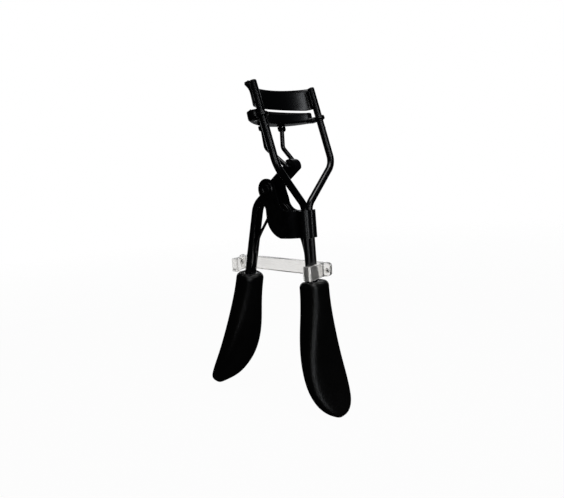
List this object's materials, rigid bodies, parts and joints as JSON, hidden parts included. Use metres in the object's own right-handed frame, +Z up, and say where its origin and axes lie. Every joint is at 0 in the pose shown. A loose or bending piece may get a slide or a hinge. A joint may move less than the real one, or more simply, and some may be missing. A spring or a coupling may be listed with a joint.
{
  "type": "eyelash curler",
  "caption": "Scissor-handled eyelash curler with a curved jaw plate, a linked sliding jaw with a lash pad, a leaf spring, paddle grips and a clear clip across the necks.",
  "frame": {"origin": "centre of the bounding box's underside, level with the fixed grip's lowest point", "axes": "+X across the jaws, +Y from the fixed handle towards the squeeze handle, +Z up from the grips to the jaws"},
  "size_m": [0.0304, 0.0542, 0.1004],
  "materials": {
    "black_lacquer": "satin black lacquer on steel",
    "spring_steel": "thin black coating on spring steel",
    "grip_plastic": "fine-grained satin black plastic",
    "pad_rubber": "smooth black rubber",
    "clear_plastic": "clear colourless moulded plastic",
    "ferrule_steel": "plain steel tube, hidden in the grips"
  },
  "bodies": {
    "frame": {"frame_wire_near": "black_lacquer", "frame_wire_far": "black_lacquer", "upper_jaw": "black_lacquer", "pivot_bracket": "black_lacquer", "pivot_rivet": "black_lacquer", "rivet_washer_near": "black_lacquer", "rivet_washer_far": "black_lacquer", "fixed_ferrule": "ferrule_steel", "fixed_grip": "grip_plastic", "neck_clip": "clear_plastic", "leaf_spring": "spring_steel"},
    "lower_jaw": {"lower_jaw": "black_lacquer", "lash_pad": "pad_rubber", "yoke_lug_near": "black_lacquer", "yoke_lug_far": "black_lacquer", "lug_pins": "black_lacquer"},
    "yoke": {"drive_yoke": "black_lacquer"},
    "handle": {"handle_wire_near": "black_lacquer", "handle_wire_far": "black_lacquer", "squeeze_lever": "black_lacquer", "moving_ferrule": "ferrule_steel", "moving_grip": "grip_plastic"}
  },
  "joints": [
    {"name": "handle_squeeze", "type": "hinge", "parent": "frame", "child": "handle", "pos_m": [0, -0.00555, 0.06984], "axis": [-1, 0, 0], "range_deg": [0, 4.2], "stiffness_Nm_per_rad": 0.6, "springref_deg": -4.58, "deforming": ["leaf_spring"]},
    {"name": "jaw_slide", "type": "slide", "parent": "frame", "child": "lower_jaw", "axis": [0, 0.2504, 0.9681], "range_m": [0, 0.0008]},
    {"name": "yoke_swing", "type": "hinge", "parent": "lower_jaw", "child": "yoke", "pos_m": [0, -0.00756, 0.08799], "axis": [1, 0, 0], "range_deg": [0, 1.4]}
  ],
  "couplings": [
    {"joint": "jaw_slide", "follows": "handle_squeeze", "m_per_rad": 0.010865},
    {"joint": "yoke_swing", "follows": "handle_squeeze", "ratio": 0.32452}
  ]
}
